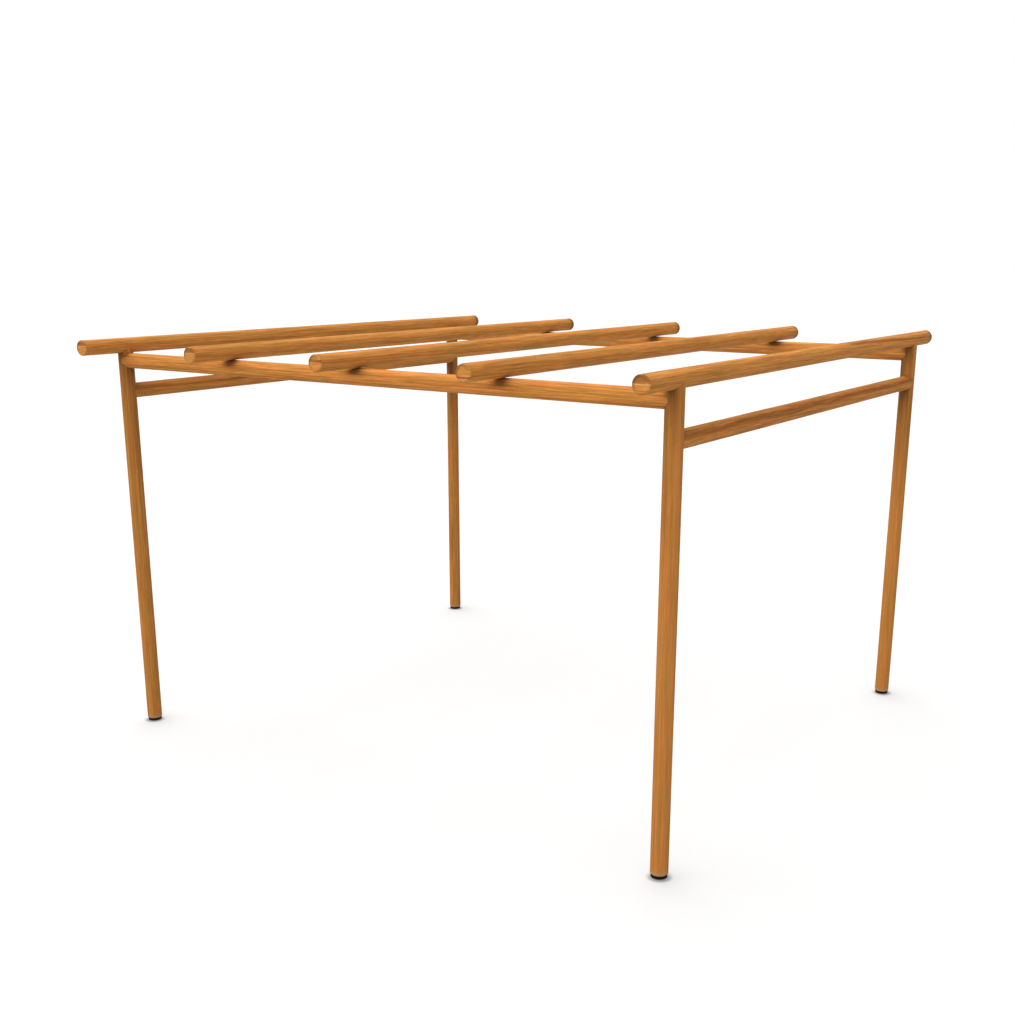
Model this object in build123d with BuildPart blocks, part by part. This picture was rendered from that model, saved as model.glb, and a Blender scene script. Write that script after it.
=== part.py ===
"""Round-pole pergola: posts on feet, beams, side rails and a roof of open rafters.

Every pole is turned round and sanded, and every joint is a saddle. The beams and the side rails
end in fish-mouths that wrap the posts, the posts end in fish-mouths that cradle the outer rafters,
and the inner rafters have shallow saddle notches where they cross the beams.

Frame: the origin is on the floor at the middle of the plan. +X runs along the beams from left to
right, +Y runs along the rafters from front to back, and +Z is up. All sizes are in millimetres.
"""

import os

from build123d import *

# Overall layout
post_spacing_x = 3880.0  # between post axes, along the beams
post_spacing_y = 3350.0  # between post axes, along the side rails
rafter_axis_height = 2500.0  # above the floor
rafter_overhang = 325.0  # past the post axes, at both ends
rafter_count = 5
rail_drop = 191.0  # from a beam's axis down to a side rail's axis

# Poles
post_diameter = 95.0
beam_diameter = 95.0
rail_diameter = 95.0
rafter_diameter = 95.0
end_chamfer = 6.0  # on the free ends of the rafters and round the foot of each post

# Saddle joints
rafter_notch = 2.0  # how far an inner rafter is let down over a beam
ear_trim = 12.0  # a fish-mouth's ears stop this far short of the other pole's axis
saddle_gap = 0.3  # clearance all round in every saddle
cut_overrun = 20.0  # how far a cutting cylinder reaches past the pole it cuts

# Feet
foot_diameter = 86.0
foot_height = 16.0
foot_chamfer = 1.5  # round the lower rim

# Derived places
post_radius = post_diameter / 2
beam_radius = beam_diameter / 2
rail_radius = rail_diameter / 2
rafter_radius = rafter_diameter / 2
beam_axis_height = rafter_axis_height - rafter_radius - beam_radius + rafter_notch
rail_axis_height = beam_axis_height - rail_drop
rafter_length = post_spacing_y + 2 * rafter_overhang
rafter_pitch = post_spacing_x / (rafter_count - 1)

side_places = {"left": -post_spacing_x / 2, "right": post_spacing_x / 2}
row_places = {"front": -post_spacing_y / 2, "back": post_spacing_y / 2}


def along_x(x, y, z):
    """A plane at that point, facing along +X, with its own x axis along +Y."""
    return Plane(origin=(x, y, z), x_dir=(0, 1, 0), z_dir=(1, 0, 0))


def along_y(x, y, z):
    """A plane at that point, facing along +Y, with its own x axis along +X."""
    return Plane(origin=(x, y, z), x_dir=(1, 0, 0), z_dir=(0, 1, 0))


def make_foot(x, y):
    """A round pad that lifts a post clear of the ground, with its lower rim chamfered."""
    with BuildPart() as foot:
        with BuildSketch(Plane(origin=(x, y, 0))):
            Circle(foot_diameter / 2)
        extrude(amount=foot_height)
        chamfer(foot.edges().group_by(Axis.Z)[0], foot_chamfer)
    return foot.part


def make_post(x, y):
    """A post from its foot up to the outer rafter, which lies in the fish-mouth at its top."""
    with BuildPart() as post:
        with BuildSketch(Plane(origin=(x, y, foot_height))):
            Circle(post_radius)
        extrude(amount=rafter_axis_height - ear_trim - foot_height)
        chamfer(post.edges().group_by(Axis.Z)[0], end_chamfer)
        with BuildSketch(along_y(x, y, rafter_axis_height)):
            Circle(rafter_radius + saddle_gap)
        extrude(amount=post_radius + cut_overrun, both=True, mode=Mode.SUBTRACT)
    return post.part


def make_beam(y):
    """A beam between two posts of one row, with a fish-mouth at each end."""
    half_length = post_spacing_x / 2 - ear_trim
    with BuildPart() as beam:
        with BuildSketch(along_x(-half_length, y, beam_axis_height)):
            Circle(beam_radius)
        extrude(amount=2 * half_length)
        with BuildSketch(Plane(origin=(0, y, beam_axis_height))):
            with Locations(*((x, 0) for x in side_places.values())):
                Circle(post_radius + saddle_gap)
        extrude(amount=beam_radius + cut_overrun, both=True, mode=Mode.SUBTRACT)
    return beam.part


def make_side_rail(x):
    """A rail between the front and back posts of one side, with a fish-mouth at each end."""
    half_length = post_spacing_y / 2 - ear_trim
    with BuildPart() as rail:
        with BuildSketch(along_y(x, -half_length, rail_axis_height)):
            Circle(rail_radius)
        extrude(amount=2 * half_length)
        with BuildSketch(Plane(origin=(x, 0, rail_axis_height))):
            with Locations(*((0, y) for y in row_places.values())):
                Circle(post_radius + saddle_gap)
        extrude(amount=rail_radius + cut_overrun, both=True, mode=Mode.SUBTRACT)
    return rail.part


def make_rafter(x, crosses_beams):
    """A rafter with chamfered ends. An inner one is notched where it crosses the two beams."""
    with BuildPart() as rafter:
        with BuildSketch(along_y(x, -rafter_length / 2, rafter_axis_height)):
            Circle(rafter_radius)
        extrude(amount=rafter_length)
        chamfer(rafter.edges().filter_by(GeomType.CIRCLE), end_chamfer)
        if crosses_beams:
            with BuildSketch(along_x(x, 0, beam_axis_height)):
                with Locations(*((y, 0) for y in row_places.values())):
                    Circle(beam_radius + saddle_gap)
            extrude(amount=rafter_radius + cut_overrun, both=True, mode=Mode.SUBTRACT)
    return rafter.part


def make_pergola():
    """Every piece of the pergola, by name."""
    pieces = {}
    for row, y in row_places.items():
        pieces[f"{row}_beam"] = make_beam(y)
        for side, x in side_places.items():
            pieces[f"{row}_{side}_foot"] = make_foot(x, y)
            pieces[f"{row}_{side}_post"] = make_post(x, y)
    for side, x in side_places.items():
        pieces[f"{side}_side_rail"] = make_side_rail(x)
    for number in range(rafter_count):
        inner = 0 < number < rafter_count - 1
        x = side_places["left"] + number * rafter_pitch
        pieces[f"rafter_{number + 1}"] = make_rafter(x, crosses_beams=inner)
    return pieces


os.makedirs("parts", exist_ok=True)
for name, part in make_pergola().items():
    part.label = name
    export_step(part, f"parts/{name}.step")
    print(name, "volume", round(part.volume), "mm3")
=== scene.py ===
# %% [markdown]
# # A pergola of round poles
# This lesson dresses a finished construction model. The frame that is loaded here holds every pole and
# foot of the pergola at its real size, in metres: +X runs along the beams, +Y along the rafters from
# front to back, and +Z up. Nothing in it is moved. Each plain solid is replaced by a finer surface in
# the same place, and then the wood, the feet and the light are made.

# %% Load the frame
import math

import bpy
import numpy as np
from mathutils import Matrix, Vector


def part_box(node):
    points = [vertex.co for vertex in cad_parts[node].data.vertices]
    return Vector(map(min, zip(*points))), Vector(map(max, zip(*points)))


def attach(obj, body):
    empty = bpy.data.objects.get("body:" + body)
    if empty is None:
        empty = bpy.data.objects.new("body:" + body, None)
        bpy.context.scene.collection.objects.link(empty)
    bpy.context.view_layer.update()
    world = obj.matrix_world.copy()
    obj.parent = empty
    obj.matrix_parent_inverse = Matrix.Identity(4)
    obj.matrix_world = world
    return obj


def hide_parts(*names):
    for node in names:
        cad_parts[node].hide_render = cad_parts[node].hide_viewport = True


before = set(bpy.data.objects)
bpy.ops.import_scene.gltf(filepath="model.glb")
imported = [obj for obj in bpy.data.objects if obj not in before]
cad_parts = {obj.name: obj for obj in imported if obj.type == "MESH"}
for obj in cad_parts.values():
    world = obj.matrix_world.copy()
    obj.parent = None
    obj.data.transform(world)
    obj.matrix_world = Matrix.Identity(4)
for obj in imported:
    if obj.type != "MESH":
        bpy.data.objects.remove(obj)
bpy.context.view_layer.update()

# %% [markdown]
# ## Read the poles from the frame
# A pole is a cylinder, so its box says everything: the long side is its axis, the short sides are its
# diameter, and the middle is a point on the axis. Reading the sizes here, rather than typing them again,
# keeps the looks in step with the construction.

# %% Measure the poles
AXES = np.eye(3)


def measure(node):
    """The axis number, middle, radius and two ends of a pole, in metres, from its box."""
    low, high = (np.array(corner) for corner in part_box(node))
    extent = high - low
    axis = int(np.argmax(extent))
    across = np.delete(extent, axis)
    return {
        "name": node,
        "axis": axis,
        "middle": (low + high) / 2,
        "radius": across.min() / 2,
        "start": low[axis],
        "end": high[axis],
    }


POST_NODES = [f"{row}_{side}_post" for row in ("front", "back") for side in ("left", "right")]
BEAM_NODES = ["front_beam", "back_beam"]
RAIL_NODES = ["left_side_rail", "right_side_rail"]
RAFTER_NODES = sorted(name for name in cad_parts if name.startswith("rafter_"))
FOOT_NODES = [name.replace("_post", "_foot") for name in POST_NODES]
poles = {name: measure(name) for name in POST_NODES + BEAM_NODES + RAIL_NODES + RAFTER_NODES}
print("poles:", len(poles), "with a radius of", round(poles["front_beam"]["radius"] * 1000, 1), "mm")

# %% [markdown]
# ## The camera
# The view is that of a person on a low step in front of the right-hand corner. A picture that was cropped
# after it was taken has its optical centre away from its middle. Blender's camera shift does the same, so
# upright posts keep the lean that they have in the photograph.

# %% Camera
PICTURE_WIDE, PICTURE_HIGH = 1015, 1016
SENSOR_WIDTH = 36.0
FOCAL_PIXELS = 1236.26
OPTICAL_CENTRE = (515.31, 592.14)
CAMERA_PLACE = (4.5926, -6.7569, 3.0400)
CAMERA_TURN = 34.878
CAMERA_DROP = 15.208

camera_data = bpy.data.cameras.new("camera")
long_side = max(PICTURE_WIDE, PICTURE_HIGH)
camera_data.sensor_width = SENSOR_WIDTH
camera_data.lens = SENSOR_WIDTH * FOCAL_PIXELS / long_side
camera_data.shift_x = (PICTURE_WIDE / 2 - OPTICAL_CENTRE[0]) / long_side
camera_data.shift_y = (OPTICAL_CENTRE[1] - PICTURE_HIGH / 2) / long_side
camera = bpy.data.objects.new("camera", camera_data)
camera.location = CAMERA_PLACE
camera.rotation_euler = (math.radians(90 - CAMERA_DROP), 0, math.radians(CAMERA_TURN))
bpy.context.scene.collection.objects.link(camera)
bpy.context.scene.camera = camera
print("camera: lens", round(camera_data.lens, 2), "mm")

# %% [markdown]
# ## Nodes without clutter
# Every material below is a small graph. One helper makes a node, sets its options and fills its inputs:
# a plain value is typed into the socket, and another node's output is linked to it.

# %% Node helper


def add(tree, kind, inputs=None, **options):
    """A new node of that kind. inputs maps a socket's name or number to a value or to an output."""
    made = tree.nodes.new("ShaderNode" + kind)
    for option, value in options.items():
        setattr(made, option, value)
    for socket, value in (inputs or {}).items():
        if isinstance(value, bpy.types.NodeSocket):
            tree.links.new(value, made.inputs[socket])
        else:
            made.inputs[socket].default_value = value
    return made


def calculate(tree, operation, *values, clamp=False):
    """The output of a Math node."""
    made = add(tree, "Math", dict(enumerate(values)), operation=operation, use_clamp=clamp)
    return made.outputs[0]


def blend(tree, factor, first, second, how="MIX"):
    """The colour output of a Mix node: first where factor is 0, second where it is 1."""
    inputs = {"Factor": factor, 6: first, 7: second}
    made = add(tree, "Mix", inputs, data_type="RGBA", blend_type=how)
    return made.outputs[2]


def remap(tree, value, low, high, to_low=0.0, to_high=1.0):
    """value taken from the range low..high to the range to_low..to_high, with soft ends."""
    inputs = {"Value": value, "From Min": low, "From Max": high, "To Min": to_low, "To Max": to_high}
    return add(tree, "MapRange", inputs, interpolation_type="SMOOTHSTEP").outputs["Result"]


# %% [markdown]
# ## Floor, sky and lamp
# The object stands in a white studio. A white floor under strong light would throw too much light up at
# the poles, so the floor is a mid grey to every ray but the camera's. The camera, and any reflection, sees
# it as white with most of its real shadow, and with a small dark contact shadow at each foot. The sky is a
# large white tent that is brighter towards the front left, and one wide softbox hangs overhead, a little
# behind and to the left, so that shadows fall softly to the front right. The contact shadows lean that way
# too: CONTACT_LEAN points from a foot towards the light.

# %% Floor and sky
FLOOR_REACH = 60.0
FLOOR_BOUNCE = 0.44
FLOOR_WHITE = 1.10
FLOOR_GLOW_SHARE = 0.2
CONTACT_REACH = 0.034
CONTACT_DEPTH = 1.9
CONTACT_LEAN = (-0.50, 0.66, 0.56)
SKY_LEVEL = 0.965
SKY_LEAN = (-0.32, -0.60, 0.0)
SOFTBOX_LEVEL = 0.66
SOFTBOX_SPREAD = 50.0
SOFTBOX_TILT = -18.0
SOFTBOX_TURN = -45.0
SOFTBOX_HEIGHT = 6.0
FLOOR_LIGHT = SKY_LEVEL + SOFTBOX_LEVEL * math.cos(math.radians(SOFTBOX_TILT))
FLOOR_SEEN = FLOOR_WHITE / FLOOR_LIGHT


def seen_directly(tree):
    """1 for rays from the camera and for reflections and clear glass, 0 for light that is scattered."""
    path = add(tree, "LightPath").outputs
    seen = calculate(tree, "MAXIMUM", path["Is Camera Ray"], path["Is Glossy Ray"])
    return calculate(tree, "MAXIMUM", seen, path["Is Transmission Ray"])


def grey(level):
    """An opaque grey of that level."""
    return (level, level, level, 1)


floor_material = bpy.data.materials.new("studio_floor")
floor_material.use_nodes = True
tree = floor_material.node_tree
tree.nodes.clear()
bounce = add(tree, "BsdfDiffuse", {"Color": grey(FLOOR_BOUNCE)}).outputs[0]
lean = add(tree, "CombineXYZ", dict(enumerate(CONTACT_LEAN))).outputs[0]
open_share = add(tree, "AmbientOcclusion", {"Distance": CONTACT_REACH, "Normal": lean}).outputs["AO"]
contact = calculate(tree, "POWER", open_share, CONTACT_DEPTH)
white = calculate(tree, "MULTIPLY", contact, FLOOR_SEEN)
shaded = add(tree, "BsdfDiffuse", {"Color": white}).outputs[0]
glow = add(tree, "Emission", {"Color": grey(1), "Strength": 1.0}).outputs[0]
picture = add(tree, "MixShader", {0: FLOOR_GLOW_SHARE, 1: shaded, 2: glow}).outputs[0]
surface = add(tree, "MixShader", {0: seen_directly(tree), 1: bounce, 2: picture}).outputs[0]
add(tree, "OutputMaterial", {"Surface": surface})

floor_corners = np.array([(-1, -1, 0), (1, -1, 0), (1, 1, 0), (-1, 1, 0)]) * FLOOR_REACH
floor_mesh = bpy.data.meshes.new("floor")
floor_mesh.from_pydata(floor_corners.tolist(), [], [(0, 1, 2, 3)])
floor_mesh.materials.append(floor_material)
floor = bpy.data.objects.new("floor", floor_mesh)
bpy.context.scene.collection.objects.link(floor)

world = bpy.data.worlds.new("studio")
bpy.context.scene.world = world
world.use_nodes = True
tree = world.node_tree
tree.nodes.clear()
direction = add(tree, "TexCoord").outputs["Generated"]
lean = add(tree, "VectorMath", {0: direction, 1: SKY_LEAN}, operation="DOT_PRODUCT").outputs["Value"]
light = calculate(tree, "ADD", lean, SKY_LEVEL)
strength = add(tree, "Mix", {"Factor": seen_directly(tree), 2: light, 3: 1.0}).outputs[0]
sky = add(tree, "Background", {"Color": grey(1), "Strength": strength}).outputs[0]
add(tree, "OutputWorld", {"Surface": sky})
bpy.context.scene.view_settings.view_transform = "Standard"
print("studio: floor", 2 * FLOOR_REACH, "m wide")

# %% Overhead softbox
sun_data = bpy.data.lights.new("overhead_softbox", "SUN")
sun_data.energy = SOFTBOX_LEVEL * math.pi
sun_data.angle = math.radians(SOFTBOX_SPREAD)
softbox = bpy.data.objects.new("overhead_softbox", sun_data)
softbox.location = (0.0, 0.0, SOFTBOX_HEIGHT)
softbox.rotation_euler = (0, math.radians(SOFTBOX_TILT), math.radians(SOFTBOX_TURN))
bpy.context.scene.collection.objects.link(softbox)
print("floor under sky and softbox:", round(FLOOR_LIGHT, 3), "of white")

# %% [markdown]
# ## A pole as one sheet of points
# A turned pole could be a cylinder with its ends cut by booleans, but booleans leave long thin triangles
# and hard edges. Instead, the whole skin of a pole is worked out as one grid: columns go round the pole,
# and rows run from the middle of one end face, over its rim, along the pole and over the other rim to the
# middle of the other end face. Each row is a pair of numbers: how far the ring is from the axis, and how
# far back it lies from the end's own surface.

# %% Rows of a pole
COLUMNS = 96
ROW_STEP = 0.05
ARRIS = 0.0012
CAP_RINGS = 9
EDGE_STEPS = 4

angle = np.arange(COLUMNS) * 2 * np.pi / COLUMNS
turn_cos, turn_sin = np.cos(angle), np.sin(angle)


def bend(first, corner, last, steps):
    """Points on the quadratic curve that leaves first towards corner and arrives at last from it."""
    t = np.linspace(0, 1, steps)[:, None]
    first, corner, last = (np.array(point, float) for point in (first, corner, last))
    return (1 - t) ** 2 * first + 2 * t * (1 - t) * corner + t**2 * last


def rim_rows(radius, chamfer):
    """(distance from the axis, distance back from the end) of a rim, from the end face to the side.

    With no chamfer it is one sanded corner. With a chamfer it is a slanted flat between two such corners.
    """
    if chamfer == 0:
        return bend((radius - ARRIS, 0), (radius, 0), (radius, ARRIS), EDGE_STEPS)
    slope = ARRIS / math.sqrt(2)
    inner = radius - chamfer
    face_corner = bend((inner - ARRIS, 0), (inner, 0), (inner + slope, slope), EDGE_STEPS)
    side_corner = bend(
        (radius - slope, chamfer - slope), (radius, chamfer), (radius, chamfer + ARRIS), EDGE_STEPS
    )
    return np.concatenate([face_corner, side_corner])


print("rim of a plain end:", len(rim_rows(poles["front_beam"]["radius"], 0)), "rows")

# %% [markdown]
# ## End faces: flat cuts and fish-mouths
# A free end is a flat cut. Where a pole meets another, its end is scooped to that pole's roundness, as a
# hole saw does it: the end lies back from the other axis by the height of a circle over the place across
# the pole. The thin ears of the scoop are blunted, so they stop short of that axis.

# %% End surfaces
SADDLE_GAP = 0.0003


def flat_end(place):
    """An end surface that is the same distance along the pole everywhere."""
    return lambda across: np.full_like(across, place)


def saddle_end(place, mate_axis, mate_radius):
    """An end scooped round another pole: the circle's height over the place across, or the ear's tip."""
    back = 1 if mate_axis > place else -1
    tip = abs(mate_axis - place)
    bite = mate_radius + SADDLE_GAP

    def surface(across):
        height = np.sqrt(np.maximum(bite**2 - across**2, 0))
        return mate_axis - back * np.maximum(height, tip)

    return surface


# %% [markdown]
# ## The skin of a turned pole
# A lathe and a sander leave a pole very nearly round, but never perfect: the radius wanders by a few tenths
# of a millimetre in long waves. The waves only take wood away, so the pole stays inside its true size. An
# inner rafter also gives up a little wood where it is let down over a beam: there, each ray from the
# rafter's axis stops where it meets the beam's round.

# %% Radius of a pole
WAVES = 5
WAVE_DEPTH = 0.00035
WAVE_PITCHES = (2.0, 9.0)
LEAST_DROP = 1e-6


def turned_radius(radius, along, seed):
    """radius less a sum of long waves that run round and along the pole, each between 0 and its depth."""
    draw = np.random.default_rng(seed)
    out = np.full(along.shape, radius)
    for wave in range(1, WAVES + 1):
        phase, pitch = draw.uniform(0, 2 * np.pi), draw.uniform(*WAVE_PITCHES)
        out -= WAVE_DEPTH / wave * (1 + np.cos(wave * angle + pitch * along + phase)) / 2
    return out


def notched(distance, along, axis_height, beams):
    """distance from a rafter's axis, cut down where the rafter would otherwise enter a beam below it.

    A ray at angle t from the axis drops by distance times -sin(t), and it meets a beam's round where that
    drop equals the height of the rafter's axis over the round at that place along the rafter.
    """
    down = np.maximum(-turn_sin, LEAST_DROP)
    for beam in beams:
        bite = beam["radius"] + SADDLE_GAP
        offset = np.abs(along - beam["middle"][1])
        top = beam["middle"][2] + np.sqrt(np.maximum(bite**2 - offset**2, 0))
        limit = np.where(offset < bite, (axis_height - top) / down, np.inf)
        distance = np.minimum(distance, limit)
    return distance


# %% [markdown]
# ## From the grid to a mesh
# The grid's columns close on themselves, and each end closes on one middle point, so the mesh is
# watertight. Five marks go with the points of a pole, because the wood needs them later: where the point is
# in the log that the pole was turned from, whether it is on a sawn end, how much painted shade or painted
# light its end rim gets, how much dark heartwood shows there, and how much painted shade other poles lay on
# it. A map for baking lays the long side out as four strips, one over the other, with the two end discs
# above them.

# %% Grid to mesh
STRIPS = 4
STRIP_SHARE = 0.225
STRIP_FILL = 0.98
DISC_SHARE = 0.045
DISC_ACROSS = (0.25, 0.75)
DISC_UP = 0.95


def lay_out(along_share, out_share, is_side):
    """Corner places on the bake map for each quad, as (rows - 1, columns, 4, 2).

    Sides: along the strip by the share of the length, up the strip by the turn. Discs: polar.
    """
    rows = np.arange(len(along_share) - 1)[:, None]
    column = np.arange(COLUMNS)[None, :]
    corner_row = np.stack([rows, rows, rows + 1, rows + 1], -1)
    corner_column = np.stack([column, column + 1, column + 1, column], -1)
    share = along_share[corner_row] + 0 * corner_column
    strip = np.minimum(np.floor(share.mean(-1, keepdims=True) * STRIPS), STRIPS - 1)
    round_share = corner_column / COLUMNS + 0 * corner_row
    side = np.stack([share * STRIPS - strip, (strip + round_share * STRIP_FILL) * STRIP_SHARE], -1)
    spread = out_share[corner_row] * DISC_SHARE
    turn = round_share * 2 * np.pi
    middle = np.where(share < 0.5, *DISC_ACROSS)
    disc = np.stack([middle + spread * np.cos(turn), DISC_UP + spread * np.sin(turn)], -1)
    return np.where(is_side[:, None, None, None], side, disc)


def fan_map(ring):
    """Corner places on the bake map for a fan of triangles: the ring's middle, then two ring corners."""
    middle = np.broadcast_to(ring.mean((0, 1)), (COLUMNS, 2))
    return np.stack([middle, ring[:, 1], ring[:, 0]], 1)


def skin(name, rings, tips, layout, marks):
    """A closed mesh from rings of points (rows, columns, 3) and the two middle points of its ends.

    layout holds the bake map's corners for the quads. marks holds a number or a vector for each point, by
    name.
    """
    rows = len(rings)
    grid = np.arange(rows * COLUMNS).reshape(rows, COLUMNS)
    turned = np.roll(grid, -1, axis=1)
    quads = np.stack([grid[:-1], turned[:-1], turned[1:], grid[1:]], -1).reshape(-1, 4)
    first, last = rows * COLUMNS, rows * COLUMNS + 1
    start_fan = np.stack([np.full(COLUMNS, first), turned[0], grid[0]], -1)
    end_fan = np.stack([np.full(COLUMNS, last), grid[-1], turned[-1]], -1)
    points = np.concatenate([rings.reshape(-1, 3), np.array(tips)])

    mesh = bpy.data.meshes.new(name)
    mesh.from_pydata(points, [], quads.tolist() + start_fan.tolist() + end_fan.tolist())
    mesh.polygons.foreach_set("use_smooth", np.ones(len(mesh.polygons), bool))
    fans = [fan_map(layout[0, :, :2]), fan_map(layout[-1, :, 2:])]
    corners = np.concatenate([places.reshape(-1, 2) for places in (layout, *fans)])
    bake_map = mesh.uv_layers.new(name="OFBake")
    bake_map.data.foreach_set("uv", corners.astype(np.float32).ravel())
    for mark, values in marks.items():
        kind, part = ("FLOAT_VECTOR", "vector") if values.ndim == 2 else ("FLOAT", "value")
        layer = mesh.attributes.new(mark, kind, "POINT")
        layer.data.foreach_set(part, values.astype(np.float32).ravel())
    mesh.update()
    piece = bpy.data.objects.new(name, mesh)
    bpy.context.scene.collection.objects.link(piece)
    return piece


# %% [markdown]
# ## Painted shade from other poles
# Beside and under another pole the wood is painted darker, as the shade that pole would cast. How much
# another pole shades a point is the share of the point's outlook that it fills. A pole is cut into small
# patches for this, and each patch fills its area over the square of its distance, less where it is seen
# aslant or low over the surface. What lies towards the light, overhead and a little to the left, counts
# most. An upward face also gets light past a pole above it.

# %% Crevices
OUTLOOK_REACH = 0.80
OUTLOOK_STEPS = 65
STRIPS_ACROSS = np.array([-0.8, -0.4, 0.0, 0.4, 0.8])
OPEN_REACH = 0.18
LOW_LIGHT = 0.25
LIGHT_FROM = np.array([-0.29, 0.0, 0.957])


def shade_from_poles(name, points, outward):
    """The share of each point's outlook that other poles fill.

    A pole's patches are short lengths of a few strips, in the plane through its axis that faces the point.
    Sum over them: (cosine to the outward direction) times (cosine to the plane's normal) times the patch's
    area, over pi times the distance squared, and times the squared cosine to LIGHT_FROM. LOW_LIGHT is added
    to the first cosine, for light that comes round the surface. On an upward face a patch counts less with
    the square of its distance, up to OPEN_REACH, because more of the sky shows past it.
    """
    filled = np.zeros(points.shape[:-1])
    offsets = np.linspace(-OUTLOOK_REACH, OUTLOOK_REACH, OUTLOOK_STEPS)
    for other, pole in poles.items():
        if other == name:
            continue
        axis, radius = pole["axis"], pole["radius"]
        towards = pole["middle"] - points
        towards[..., axis] = 0
        apart = np.linalg.norm(towards, axis=-1, keepdims=True)
        past_end = points[..., axis] - np.clip(points[..., axis], pole["start"], pole["end"])
        close = np.hypot(apart[..., 0], past_end) < OUTLOOK_REACH
        if not close.any():
            continue
        facing = outward[close][:, None, :]
        towards = (towards / apart)[close]
        apart = np.maximum(apart[close], radius)
        sideways = np.cross(AXES[axis], towards)
        place = points[close][:, None, axis] + offsets
        patch = 2 * radius / len(STRIPS_ACROSS) * (offsets[1] - offsets[0])
        area = patch * ((place > pole["start"]) & (place < pole["end"]))
        for strip in STRIPS_ACROSS:
            nearest = apart * towards + strip * radius * sideways
            gap = nearest[:, None, :] + offsets[:, None] * AXES[axis]
            distance = np.linalg.norm(gap, axis=-1)
            low_over = np.maximum((gap * facing).sum(-1) / distance + LOW_LIGHT, 0) / (1 + LOW_LIGHT)
            counts = np.maximum(gap @ LIGHT_FROM / distance, 0) ** 2
            counts *= 1 - np.maximum(facing[..., 2], 0) * np.minimum(distance / OPEN_REACH, 1) ** 2
            fill = low_over * apart / distance * area / (np.pi * distance**2)
            filled[close] += (counts * fill).sum(-1)
    return np.minimum(filled, 1)


# %% [markdown]
# ## Where a pole needs more rows
# Shade changes quickly beside a crossing and near an end, so the rows lie closer together there.

# %% Rows along a pole
CROSSING_REACH = 0.30
CROSSING_ROWS = np.array(
    [0.0, 0.004, 0.008, 0.012, 0.016, 0.024, 0.036, 0.048, 0.064, 0.084, 0.108]
)
END_ROWS = np.array([0.012, 0.025, 0.040])
FINEST_STEP = 0.004


def crossings(pole):
    """The places along a pole where another pole, in another direction, passes close by."""
    places = []
    for other in poles.values():
        if other["axis"] == pole["axis"]:
            continue
        third = 3 - other["axis"] - pole["axis"]
        apart = abs(other["middle"][third] - pole["middle"][third])
        along_other = pole["middle"][other["axis"]]
        reached = other["start"] - CROSSING_REACH < along_other < other["end"] + CROSSING_REACH
        if apart < CROSSING_REACH and reached:
            places.append(other["middle"][pole["axis"]])
    return np.array(places)


def row_shares(pole):
    """Shares of a pole's length for its rows: even steps, finer at its ends and where others cross it.

    The finer rows lie on a lattice of FINEST_STEP, so that no two of them are closer than that.
    """
    length = pole["end"] - pole["start"]
    even = np.linspace(0, 1, int(length / ROW_STEP) // STRIPS * STRIPS + 1)
    near = crossings(pole)[:, None] - pole["start"]
    beside = [near + CROSSING_ROWS, near - CROSSING_ROWS]
    finer = np.concatenate([rows.ravel() for rows in beside] + [END_ROWS, length - END_ROWS])
    finer = np.unique(np.round(finer / FINEST_STEP)) * FINEST_STEP / length
    clear = np.abs(finer[:, None] - even).min(1) > FINEST_STEP / 2 / length
    return np.sort(np.concatenate([even, finer[clear & (finer > 0) & (finer < 1)]]))


print("rows along a post:", len(row_shares(poles[POST_NODES[0]])))

# %% [markdown]
# ## Building a pole
# Now the parts come together: rows, ends, radius and the marks that the wood needs. Two marks are made
# here. An end may be painted dark round its rim, as shade, or painted pale there, as light, which is given
# as a strength, a reach and a lean. A layer of dark heartwood may run through the pole, which is given as
# its height above the axis, half its thickness, its dip, where it begins and its strength.

# %% Build a pole
LOG_STRIDE = 7.3
GRAIN_SLOPE = 0.008
LEAN_TURN = 0.7
FACE_REACH = 0.012
NO_MARK = (0.0, 1.0, 0.0)
NO_HEART = (1.0, 0.01, 0.0, 0.0, 0.0)
HEART_FADE = 0.6


def end_mark(back, inward, strength, reach, lean):
    """A mark round an end: full up to half its reach from the rim, then fading to nothing at the reach.

    back is the distance from the end along the side, and inward the distance from the rim on the end face,
    where the reach is FACE_REACH. With a lean of 1 the mark is full at the turn LEAN_TURN and gone on the
    other side, and with 0 it is the same all round.
    """
    fade = np.clip(2 - 2 * np.maximum(back / reach, inward / FACE_REACH), 0, 1)
    towards_lean = ((1 + np.cos(angle - LEAN_TURN)) / 2) ** 2
    return strength * fade[:, None] * (1 - lean + lean * towards_lean)


def heart_mark(height, along, layer_height, half_thick, dip, begins, strength):
    """strength in the middle of a layer of heartwood, half of it where the layer ends, and 0 outside.

    It falls to 0 over a change of height of half_thick, and rises from 0 over HEART_FADE metres past
    begins. The layer's height drops by dip for each metre past begins.
    """
    past = along - begins
    inside = np.clip(1.5 - np.abs(height - layer_height + dip * past) / half_thick, 0, 1)
    return strength * inside * np.clip(past / HEART_FADE, 0, 1)


def end_rings(rim, surface, towards_middle):
    """The rings of one end, from its middle out: distance from the axis, back from the end, in from the rim
    and, for each column, place along the pole."""
    faces = np.linspace(0, rim[0, 0], CAP_RINGS + 1)[1:-1]
    out = np.concatenate([faces, rim[:, 0]])
    back = np.concatenate([np.zeros(len(faces)), rim[:, 1]])
    inward = np.maximum(rim[0, 0] - out, 0)
    return out, back, inward, surface(out[:, None] * turn_cos) + towards_middle * back[:, None]


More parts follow.
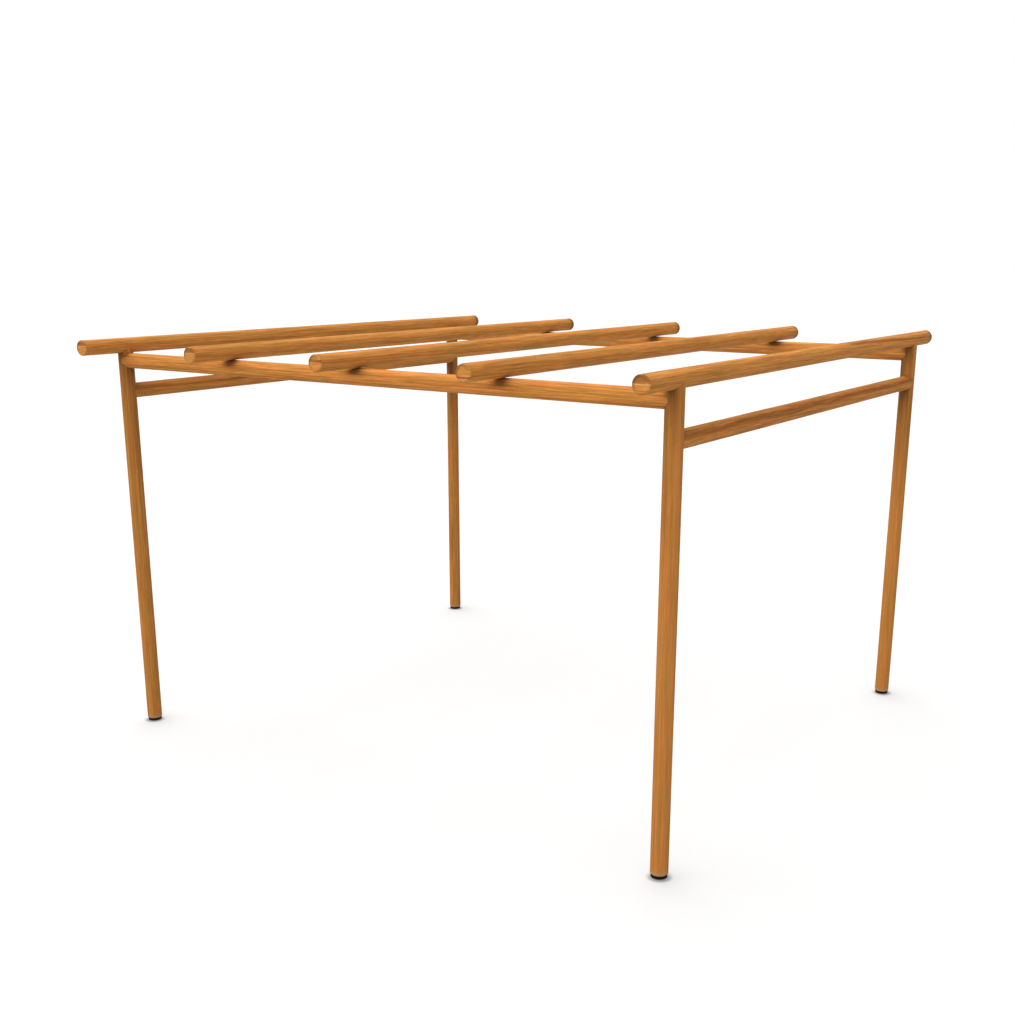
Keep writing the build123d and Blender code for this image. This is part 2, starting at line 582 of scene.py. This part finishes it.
def turned_pole(
    name, pole, start_surface, end_surface, chamfers, seed, beams=(), grain_turn=0.0,
    end_marks=(NO_MARK, NO_MARK), side_heart=NO_HEART, end_heart=NO_HEART,
):
    """The piece that stands for a pole's solid, from its two end surfaces and its rims' chamfers.

    Rows: start face from its middle out, start rim, side, end rim, end face back in to its middle. A ring
    at distance d from the axis and back b from an end lies at d times (cos, sin) across the pole, and along
    it at that end's surface there, moved b towards the pole's middle.
    """
    axis, radius = pole["axis"], pole["radius"]
    along_axis = AXES[axis]
    up = AXES[1] if axis == 2 else AXES[2]
    sideways = np.cross(up, along_axis)
    rims = [rim_rows(radius, chamfer) for chamfer in chamfers]
    start_out, start_back, start_inward, start_along = end_rings(rims[0], start_surface, 1)
    end_out, end_back, end_inward, end_along = end_rings(rims[1], end_surface, -1)
    length = pole["end"] - pole["start"]
    share = row_shares(pole)[1:-1, None]
    side_along = start_along[-1] * (1 - share) + end_along[-1] * share

    along = np.concatenate([start_along, side_along, end_along[::-1]])
    out = np.concatenate([start_out, np.full(len(share), radius), end_out[::-1]])
    shrink = turned_radius(radius, along, seed) / radius
    distance = out[:, None] * shrink
    if beams:
        distance = notched(distance, along, pole["middle"][2], beams)
    across, over = distance * turn_cos, distance * turn_sin
    foot_of_axis = pole["middle"] - pole["middle"][axis] * along_axis
    tip_along = [start_surface(np.zeros(1))[0], end_surface(np.zeros(1))[0]]
    rings = (
        foot_of_axis
        + along[..., None] * along_axis
        + across[..., None] * sideways
        + over[..., None] * up
    )
    tips = [foot_of_axis + place * along_axis for place in tip_along]

    log_cos, log_sin = math.cos(grain_turn), math.sin(grain_turn)
    in_log = np.stack(
        [
            across * log_cos - over * log_sin + GRAIN_SLOPE * (along - pole["start"]),
            across * log_sin + over * log_cos,
            along + seed * LOG_STRIDE,
        ],
        -1,
    )
    tip_log = [
        (GRAIN_SLOPE * (place - pole["start"]), 0, place + seed * LOG_STRIDE) for place in tip_along
    ]
    outward = turn_cos[:, None] * sideways + turn_sin[:, None] * up
    # Painted shade: how much other poles would shade each point, kept as a mark for the wood's colour.
    crevice = shade_from_poles(pole["name"], rings, np.broadcast_to(outward, rings.shape))
    last_corner = np.linspace(1, 0, EDGE_STEPS)
    start_sawn = np.concatenate([np.ones(len(start_out) - EDGE_STEPS), last_corner])
    end_sawn = np.concatenate([np.ones(len(end_out) - EDGE_STEPS), last_corner])
    sawn = np.concatenate([start_sawn, np.zeros(len(share)), end_sawn[::-1]])
    heart = heart_mark(in_log[..., 1], along, *side_heart)
    heart[sawn > 0] = heart_mark(in_log[sawn > 0, :, 1], pole["end"], *end_heart)
    tip_heart = np.full(2, heart_mark(0.0, pole["end"], *end_heart))
    side_back = share[:, 0] * length
    from_start = np.concatenate([start_back, side_back, np.full(len(end_out), length)])
    from_end = np.concatenate([np.full(len(start_out), length), length - side_back, end_back[::-1]])
    inward = np.concatenate([start_inward, np.zeros(len(share)), end_inward[::-1]])
    bevel = end_mark(from_start, inward, *end_marks[0]) + end_mark(from_end, inward, *end_marks[1])
    marks = {
        "in_log": np.concatenate([in_log.reshape(-1, 3), np.array(tip_log)]),
        "sawn": np.concatenate([np.repeat(sawn, COLUMNS), np.ones(2)]),
        "bevel": np.concatenate([bevel.ravel(), np.zeros(2)]),
        "heart": np.concatenate([heart.ravel(), tip_heart]),
        "crevice": np.concatenate([crevice.ravel(), np.zeros(2)]),
    }
    along_share = np.concatenate([np.zeros(len(start_out)), share[:, 0], np.ones(len(end_out))])
    is_side = np.ones(len(out) - 1, bool)
    is_side[: len(start_out) - 1] = False
    is_side[-len(end_out) + 1 :] = False
    layout = lay_out(along_share, out / radius, is_side)
    piece = skin(name, rings, tips, layout, marks)
    print(name, "rows", len(out), "points", rings.shape[0] * rings.shape[1])
    return piece


# %% [markdown]
# ## Posts
# A post stands on its foot with a small chamfer, which keeps the bottom edge from splitting, and ends in a
# fish-mouth that cradles the outer rafter above it. Its bottom edge is painted paler, as lit from the floor.

# %% Posts
END_CHAMFER = 0.006
# Painted light: the bottom rim of a post is paler, as lit from the floor.
LIT_FOOT_RIM = (-1.0, 0.016, 0.0)
POST_SEED = 10
POST_TURN = 0.6
POST_TURN_STEP = 1.3
pieces = {}


def dress(piece, node):
    """Ride on the one body of the frame, stand for the plain solid and join the dressed pieces."""
    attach(piece, "root")
    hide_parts(node)
    pieces[piece.name] = piece


for number, node in enumerate(POST_NODES):
    post = poles[node]
    rafter = poles[RAFTER_NODES[0] if "left" in node else RAFTER_NODES[-1]]
    top = saddle_end(post["end"], rafter["middle"][2], rafter["radius"])
    piece = turned_pole(
        f"{node}_timber", post, flat_end(post["start"]), top, (END_CHAMFER, 0), seed=POST_SEED + number,
        grain_turn=POST_TURN + POST_TURN_STEP * number, end_marks=(LIT_FOOT_RIM, NO_MARK),
    )
    dress(piece, node)

# %% [markdown]
# ## Beams and side rails
# A beam or a rail is scooped at both ends to fit round the posts that it joins. A dark layer of heartwood
# runs the whole length of each rail, a little above its middle.

# %% Beams and rails


def joined_pole(node, first_post, second_post, seed, **grain):
    """A pole between two posts, with a fish-mouth at each end."""
    pole = poles[node]
    axis = pole["axis"]
    first, second = poles[first_post], poles[second_post]
    ends = (
        saddle_end(pole["start"], first["middle"][axis], first["radius"]),
        saddle_end(pole["end"], second["middle"][axis], second["radius"]),
    )
    return turned_pole(f"{node}_timber", pole, *ends, (0, 0), seed=seed, **grain)


BEAM_SEED, BEAM_TURN = 20, 0.3
RAIL_SEED, RAIL_TURN = 30, 0.2
ALWAYS = -3.0
RAIL_HEARTS = {
    "left": (0.005, 0.010, 0.0, ALWAYS, 0.58),
    "right": (0.011, 0.0135, 0.0, ALWAYS, 0.62),
}
for number, row in enumerate(("front", "back")):
    piece = joined_pole(
        f"{row}_beam", f"{row}_left_post", f"{row}_right_post", BEAM_SEED + number, grain_turn=BEAM_TURN
    )
    dress(piece, f"{row}_beam")
for number, side in enumerate(("left", "right")):
    piece = joined_pole(
        f"{side}_side_rail", f"front_{side}_post", f"back_{side}_post", RAIL_SEED + number,
        grain_turn=RAIL_TURN, side_heart=RAIL_HEARTS[side],
    )
    dress(piece, f"{side}_side_rail")

# %% [markdown]
# ## Rafters
# Rafters run on past both beams and end in flat, chamfered cuts. The inner ones are notched over the
# beams. Their ends carry painted shade: the far ends are dark for a few centimetres, each to its own
# degree, and the near ones only on one side of the rim. Heartwood shows in the end faces, each time at
# another height, and as a streak that sinks along the side of the right rafter.

# %% Rafters
RAFTER_SEED = 40
END_HEARTS = [(0.024, 0.011), (0.026, 0.013), (0.013, 0.008), (-0.022, 0.006), (0.024, 0.019)]
RIGHT_STREAK = (0.0465, 0.007, 0.0208, 0.1, 1.0)
# Painted shade on the rafter ends: the near rims are dark on one side, the far ends all round.
SHADED_NEAR_RIM = (0.75, 0.014, 1.0)
SHADED_FAR_ENDS = [0.75, 0.75, 0.65, 0.40, 0.65]
SHADED_FAR_REACH = 0.055
for number, node in enumerate(RAFTER_NODES):
    rafter = poles[node]
    inner = 0 < number < len(RAFTER_NODES) - 1
    crossed = [poles[beam] for beam in BEAM_NODES] if inner else []
    streak = RIGHT_STREAK if node == RAFTER_NODES[-1] else NO_HEART
    shaded_far = (SHADED_FAR_ENDS[number], SHADED_FAR_REACH, 0.0)
    piece = turned_pole(
        f"{node}_timber", rafter, flat_end(rafter["start"]), flat_end(rafter["end"]),
        (END_CHAMFER, END_CHAMFER), seed=RAFTER_SEED + number, beams=crossed,
        end_marks=(SHADED_NEAR_RIM, shaded_far), side_heart=streak,
        end_heart=(*END_HEARTS[number], 0.0, ALWAYS, 1.0),
    )
    dress(piece, node)

# %% [markdown]
# ## Feet
# Each post stands on a low moulded pad. Its profile is drawn once, from the middle of the underside out and
# up to the middle of the top, and carried round the post's axis.

# %% Feet
PAD_ROUND = 0.0015
PAD_LIP = 0.0015
PAD_GROOVE = 0.0008
PAD_GROOVE_REACH = 0.002
PAD_FACE_RINGS = 5
PAD_ROUND_STEPS, PAD_GROOVE_STEPS, PAD_LIP_STEPS = 7, 9, 5


def moulded_pad(name, node):
    """A pad turned from a profile: flat underside, round lower rim, shallow groove and small top rim."""
    low, high = (np.array(corner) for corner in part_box(node))
    radius, tall = (high - low)[:2].min() / 2, high[2] - low[2]
    below, above = tall / 2 - PAD_GROOVE_REACH, tall / 2 + PAD_GROOVE_REACH
    underside = np.linspace(0, radius - PAD_ROUND, PAD_FACE_RINGS + 2)[1:-1]
    top = np.linspace(radius - PAD_LIP, 0, PAD_FACE_RINGS + 2)[1:-1]
    profile = np.concatenate([
        np.stack([underside, np.zeros(PAD_FACE_RINGS)], -1),
        bend((radius - PAD_ROUND, 0), (radius, 0), (radius, PAD_ROUND), PAD_ROUND_STEPS),
        bend((radius, below), (radius - 2 * PAD_GROOVE, tall / 2), (radius, above), PAD_GROOVE_STEPS),
        bend((radius, tall - PAD_LIP), (radius, tall), (radius - PAD_LIP, tall), PAD_LIP_STEPS),
        np.stack([top, np.full(PAD_FACE_RINGS, tall)], -1),
    ])
    middle = (low + high) / 2
    ring = np.stack([turn_cos, turn_sin], -1)
    rings = np.empty((len(profile), COLUMNS, 3))
    rings[..., :2] = middle[:2] + profile[:, None, :1] * ring
    rings[..., 2] = low[2] + profile[:, None, 1]
    tips = [(middle[0], middle[1], low[2]), (middle[0], middle[1], high[2])]
    rows = np.arange(len(profile))
    strip_starts = np.round(np.linspace(0, rows[-1], STRIPS + 1))
    share = np.interp(rows, strip_starts, np.linspace(0, 1, STRIPS + 1))
    level = np.diff(profile[:, 1]) == 0
    layout = lay_out(share, profile[:, 0] / radius, ~level)
    return skin(name, rings, tips, layout, {})


for node in FOOT_NODES:
    dress(moulded_pad(f"{node}_pad", node), node)
print("feet:", len(FOOT_NODES))

# %% [markdown]
# ## The grain of oiled timber
# Wood is a solid pattern: rings laid down round a pith, seen wherever the surface cuts them. So the pattern
# is worked out in the log, not painted on the pole. The pith lies outside the pole, because poles like
# these are turned from a quarter of a larger log, and the distance to it gives the layers, which drift a
# little along the log.

# %% Wood group
PITH = (0.0, 0.300, 0.0)
DRIFT_FEATURES = 0.7
DRIFT_WIDTH = 0.010
NOISE_MIDDLE = (0.5, 0.5, 0.5)


def new_group(name, inputs, outputs):
    """An empty shader node group with those named sockets, and its input and output nodes."""
    group = bpy.data.node_groups.new(name, "ShaderNodeTree")
    for way, sockets in (("INPUT", inputs), ("OUTPUT", outputs)):
        for socket, kind in sockets.items():
            group.interface.new_socket(socket, in_out=way, socket_type="NodeSocket" + kind)
    return group, group.nodes.new("NodeGroupInput").outputs, group.nodes.new("NodeGroupOutput").inputs


def scaled(tree, vector, x, y, z):
    """The vector with each part times its own factor."""
    made = add(tree, "VectorMath", {0: vector, 1: (x, y, z)}, operation="MULTIPLY")
    return made.outputs[0]


def noise(tree, vector, detail=2.0, roughness=0.5):
    """Smooth noise from 0 to 1 with features about one unit of the vector wide."""
    inputs = {"Vector": vector, "Scale": 1.0, "Detail": detail, "Roughness": roughness}
    return add(tree, "TexNoise", inputs, noise_dimensions="3D").outputs["Fac"]


group, given, result = new_group(
    "timber_grain",
    {"Log": "Vector", "Sawn": "Float", "Bevel": "Float", "Heart": "Float", "Crevice": "Float",
     "Tint": "Color", "Figure": "Float", "Shelter": "Float", "Gather": "Float"},
    {"Colour": "Color", "Roughness": "Float", "Height": "Float"},
)
log = given["Log"]
wander = scaled(group, log, 0, 0, DRIFT_FEATURES)
drift = add(group, "TexNoise", {"Vector": wander, "Scale": 1.0, "Detail": 1.0}).outputs["Color"]
drift = add(group, "VectorMath", {0: drift, 1: NOISE_MIDDLE}, operation="SUBTRACT").outputs[0]
drift = scaled(group, drift, DRIFT_WIDTH, DRIFT_WIDTH, 0)
bent = add(group, "VectorMath", {0: log, 1: drift}, operation="ADD").outputs[0]
from_pith = add(group, "VectorMath", {0: bent, 1: PITH}, operation="SUBTRACT").outputs[0]
flat = scaled(group, from_pith, 1, 1, 0)
depth = add(group, "VectorMath", {0: flat}, operation="LENGTH").outputs["Value"]
parts = add(group, "SeparateXYZ", {0: from_pith}).outputs
layer = add(group, "CombineXYZ", {0: depth, 1: parts["X"], 2: parts["Z"]}).outputs[0]

# %% [markdown]
# ## Patterns in the log
# Each pattern is noise with its own number of features per metre: across the layers, across the width and
# along the log. Because it is stretched far along the log, it reads as streaks on the side and as bands on a
# sawn end. The last two numbers are the noise's detail and roughness. Fibres, pores and specks are too fine
# to follow the layers, so they are placed in the log itself.

# %% Wood group: patterns
LAYER_PATTERNS = {
    "warmth": ((85, 30, 2.6), 2.0, 0.5),
    "broad": ((62, 14, 1.4), 3.0, 0.55),
    "streaks": ((210, 45, 2.4), 2.0, 0.5),
    "mottle": ((120, 70, 9.0), 2.0, 0.5),
    "red": ((110, 30, 1.6), 3.0, 0.6),
    "ragged": ((150, 60, 3.0), 3.0, 0.6),
    "lines": ((240, 55, 1.2), 1.0, 0.5),
    "rings": ((170, 8, 3.0), 2.0, 0.6),
    "bands": ((300, 12, 3.0), 1.0, 0.5),
}
LOG_PATTERNS = {
    "fibres": ((400, 400, 8), 2.0, 0.6),
    "pores": ((1500, 1500, 34), 1.0, 0.5),
    "specks": ((1600, 1600, 40), 1.0, 0.5),
}
pattern = {}
for space, patterns in ((layer, LAYER_PATTERNS), (log, LOG_PATTERNS)):
    for name, (features, detail, roughness) in patterns.items():
        pattern[name] = noise(group, scaled(group, space, *features), detail, roughness)
print("patterns:", ", ".join(pattern))

# %% [markdown]
# ## The side of a pole
# The colour goes from ochre to orange, with red-brown streaks and the heartwood. Its brightness is a sum of
# three patterns, times the fibres, and darker in the lines and pores. Figure says how far it leaves 1.

# %% Wood group: side grain
OCHRE = (0.455, 0.205, 0.041, 1)
ORANGE = (0.565, 0.196, 0.046, 1)
RED_BROWN = (0.330, 0.095, 0.018, 1)
HEARTWOOD = (0.255, 0.078, 0.016, 1)
STREAK_SHARE, BROAD_SHARE, MOTTLE_SHARE = 0.55, 0.25, 0.20
LINE_DARK, PORE_DARK = 0.24, 0.22

warmth = remap(group, pattern["warmth"], 0.36, 0.64, 0.15, 0.85)
side = blend(group, warmth, OCHRE, ORANGE)
red = remap(group, pattern["red"], 0.56, 0.72, 0.0, 0.55)
side = blend(group, red, side, RED_BROWN)
ragged = remap(group, pattern["ragged"], 0.3, 0.7, 0.35, 1.5)
heart = calculate(group, "MULTIPLY", given["Heart"], ragged, clamp=True)
side = blend(group, heart, side, HEARTWOOD)

value = calculate(group, "MULTIPLY", pattern["broad"], BROAD_SHARE)
value = calculate(group, "MULTIPLY_ADD", pattern["streaks"], STREAK_SHARE, value)
value = calculate(group, "MULTIPLY_ADD", pattern["mottle"], MOTTLE_SHARE, value)
value = remap(group, value, 0.36, 0.64, 0.74, 1.22)
value = calculate(group, "MULTIPLY", value, remap(group, pattern["fibres"], 0.3, 0.7, 0.82, 1.15))
line = remap(group, pattern["lines"], 0.56, 0.68)
pore = remap(group, pattern["pores"], 0.60, 0.72)
for dark, amount in ((line, LINE_DARK), (pore, PORE_DARK)):
    value = calculate(group, "MULTIPLY", value, calculate(group, "MULTIPLY_ADD", dark, -amount, 1.0))
contrast = calculate(group, "ADD", value, -1.0)
value = calculate(group, "MULTIPLY_ADD", contrast, given["Figure"], 1.0)
side = blend(group, 1.0, side, value, "MULTIPLY")
print("side grain made")

# %% [markdown]
# ## The sawn ends
# End grain is tan, in bands. Round the heartwood it turns pale first and then dark, along an uneven edge.

# %% Wood group: sawn ends
TAN_DARK = (0.490, 0.190, 0.036, 1)
TAN_LIGHT = (0.600, 0.245, 0.060, 1)
PALE_EDGE = (0.640, 0.300, 0.105, 1)
END_HEARTWOOD = (0.270, 0.085, 0.024, 1)
UNEVEN_BROAD, UNEVEN_MOTTLE, UNEVEN_MIDDLE = 0.36, 0.40, -0.38

end = blend(group, remap(group, pattern["rings"], 0.35, 0.65), TAN_DARK, TAN_LIGHT)
uneven = calculate(group, "MULTIPLY_ADD", pattern["mottle"], UNEVEN_MOTTLE, UNEVEN_MIDDLE)
uneven = calculate(group, "MULTIPLY_ADD", pattern["broad"], UNEVEN_BROAD, uneven)
end_heart = calculate(group, "ADD", given["Heart"], uneven)
rising, falling = remap(group, end_heart, 0.10, 0.30), remap(group, end_heart, 0.55, 0.40)
end = blend(group, calculate(group, "MULTIPLY", rising, falling), end, PALE_EDGE)
end = blend(group, remap(group, end_heart, 0.34, 0.66, 0.0, 0.72), end, END_HEARTWOOD)
speck = remap(group, pattern["specks"], 0.35, 0.65, 0.85, 1.08)
band = remap(group, pattern["bands"], 0.40, 0.60, 0.80, 1.16)
end = blend(group, 1.0, end, calculate(group, "MULTIPLY", speck, band), "MULTIPLY")
body = blend(group, given["Sawn"], side, end)
print("sawn ends made")

# %% [markdown]
# ## Painted shade and painted light
# A positive end mark darkens the wood as painted shade, and a negative one lightens it as painted light.
# Wood that other poles would shade is painted darker too, in patches, and never all the way.

# %% Wood group: painted shade, painted light and relief
# The dark brown that painted shade goes towards, and the pale tan of painted light on a rim.
SHADE_BROWN = (0.070, 0.032, 0.010, 1)
RIM_LIGHT_TAN = (0.480, 0.270, 0.140, 1)
MARK_COVER = 0.80
SHADE_LIMIT = 0.78
LEAST_ROUGH, STREAK_ROUGH, PORE_ROUGH = 0.52, 0.18, 0.15
STREAK_RELIEF, PORE_RELIEF, LINE_RELIEF = 0.5, -0.8, -0.4

rim_shade = calculate(group, "MULTIPLY", given["Bevel"], MARK_COVER, clamp=True)
body = blend(group, rim_shade, body, SHADE_BROWN)
rim_light = calculate(group, "MULTIPLY", given["Bevel"], -MARK_COVER, clamp=True)
body = blend(group, rim_light, body, RIM_LIGHT_TAN)
# Painted shade: wood that other poles would shade goes towards the dark brown, in patches.
patchy = remap(group, pattern["broad"], 0.3, 0.7, 1.3, 0.7)
shade = calculate(group, "MULTIPLY", given["Crevice"], patchy)
shade = calculate(group, "MULTIPLY", shade, given["Shelter"])
shade = calculate(group, "POWER", shade, given["Gather"])
body = blend(group, calculate(group, "MINIMUM", shade, SHADE_LIMIT), body, SHADE_BROWN)
body = blend(group, 1.0, body, given["Tint"], "MULTIPLY")
group.links.new(body, result["Colour"])

rough = calculate(group, "MULTIPLY_ADD", pore, PORE_ROUGH, LEAST_ROUGH)
rough = calculate(group, "MULTIPLY_ADD", pattern["streaks"], STREAK_ROUGH, rough)
group.links.new(rough, result["Roughness"])
relief = calculate(group, "MULTIPLY_ADD", pattern["streaks"], STREAK_RELIEF, pattern["fibres"])
relief = calculate(group, "MULTIPLY_ADD", pore, PORE_RELIEF, relief)
relief = calculate(group, "MULTIPLY_ADD", line, LINE_RELIEF, relief)
group.links.new(relief, result["Height"])
print("wood group:", len(group.nodes), "nodes")

# %% [markdown]
# ## Five tints of the same timber
# Posts, beams, rails and rafters are one timber, each with its own tint: the beams are palest, the left
# posts are darker than the right ones, and the posts show the quietest figure. Each material places the
# grain group with its own values.

# %% Wood materials
GRAIN_RELIEF = 0.0004
BUMP_STRENGTH = 0.5
OIL_SHINE = 0.03


def timber(name, tint, figure, shade_strength, gather=1.0):
    """Oiled timber times a tint, with a figure, or grain, that stands out more or less.

    The shade strength says how much painted shade the wood gets for the share of its outlook that other
    poles fill. The painted shade is raised to the power gather, which keeps it close to the other poles.
    """
    material = bpy.data.materials.new(name)
    material.use_nodes = True
    tree = material.node_tree
    tree.nodes.clear()
    inputs = {"Tint": (*tint, 1), "Figure": figure, "Shelter": shade_strength, "Gather": gather}
    inputs["Log"] = add(tree, "Attribute", attribute_name="in_log").outputs["Vector"]
    for mark in ("sawn", "bevel", "heart", "crevice"):
        inputs[mark.capitalize()] = add(tree, "Attribute", attribute_name=mark).outputs["Fac"]
    grain = add(tree, "Group", inputs, node_tree=group).outputs
    bump = add(tree, "Bump", {
        "Height": grain["Height"], "Distance": GRAIN_RELIEF, "Strength": BUMP_STRENGTH,
    })
    shader = add(tree, "BsdfPrincipled", {
        "Base Color": grain["Colour"],
        "Roughness": grain["Roughness"],
        "Normal": bump.outputs["Normal"],
        "Specular IOR Level": OIL_SHINE,
    })
    add(tree, "OutputMaterial", {"Surface": shader.outputs[0]})
    return material


timbers = {
    "left_post": timber("left_post_timber", tint=(0.92, 0.94, 0.95), figure=0.72, shade_strength=7.6),
    "right_post": timber("right_post_timber", tint=(0.98, 0.99, 1.01), figure=0.45, shade_strength=6.6),
    "beam": timber("beam_timber", tint=(1.14, 1.13, 1.13), figure=1.10, shade_strength=4.0, gather=1.5),
    "rail": timber("rail_timber", tint=(1.05, 1.05, 1.07), figure=1.10, shade_strength=4.5),
    "rafter": timber("rafter_timber", tint=(1.10, 1.145, 1.17), figure=0.98, shade_strength=4.5),
}
for name, piece in pieces.items():
    for kind, material in timbers.items():
        if kind in name and name.endswith("_timber"):
            piece.data.materials.append(material)
print("timbers:", list(timbers))

# %% [markdown]
# ## Black moulded pads
# The feet are a dark rubber-like plastic: nearly black, matte, with a fine cast grain.

# %% Foot material
PAD_BLACK = (0.004, 0.003, 0.002, 1)
PAD_GREY = (0.011, 0.008, 0.006, 1)
CAST_FEATURES = 700
CAST_RELIEF = 0.0003
CAST_LOW, CAST_HIGH = 0.3, 0.7
PAD_SHINE = 0.15


def ramp(tree, value, *stops):
    """The colour of a straight ramp between two stops, each a place and a colour."""
    made = add(tree, "ValToRGB", {"Fac": value})
    for element, stop in zip(made.color_ramp.elements, stops):
        element.position, element.color = stop
    return made.outputs["Color"]


pad_material = bpy.data.materials.new("foot_pad")
pad_material.use_nodes = True
tree = pad_material.node_tree
tree.nodes.clear()
place = add(tree, "TexCoord").outputs["Object"]
cast = noise(tree, scaled(tree, place, CAST_FEATURES, CAST_FEATURES, CAST_FEATURES), 3.0, 0.6)
tint = ramp(tree, cast, (CAST_LOW, PAD_BLACK), (CAST_HIGH, PAD_GREY))
dull = remap(tree, cast, CAST_LOW, CAST_HIGH, 0.55, 0.72)
bump = add(tree, "Bump", {"Height": cast, "Distance": CAST_RELIEF, "Strength": BUMP_STRENGTH})
shader = add(tree, "BsdfPrincipled", {
    "Base Color": tint,
    "Roughness": dull,
    "Normal": bump.outputs["Normal"],
    "Specular IOR Level": PAD_SHINE,
})
add(tree, "OutputMaterial", {"Surface": shader.outputs[0]})
for name, piece in pieces.items():
    if name.endswith("_pad"):
        piece.data.materials.append(pad_material)
print("pads:", pad_material.name)

# %% [markdown]
# ## Bring the scene up to date
# The dressed model has to fill the same box as the construction model. Here the scene is brought up to date.

# %% Update the scene
bpy.context.view_layer.update()
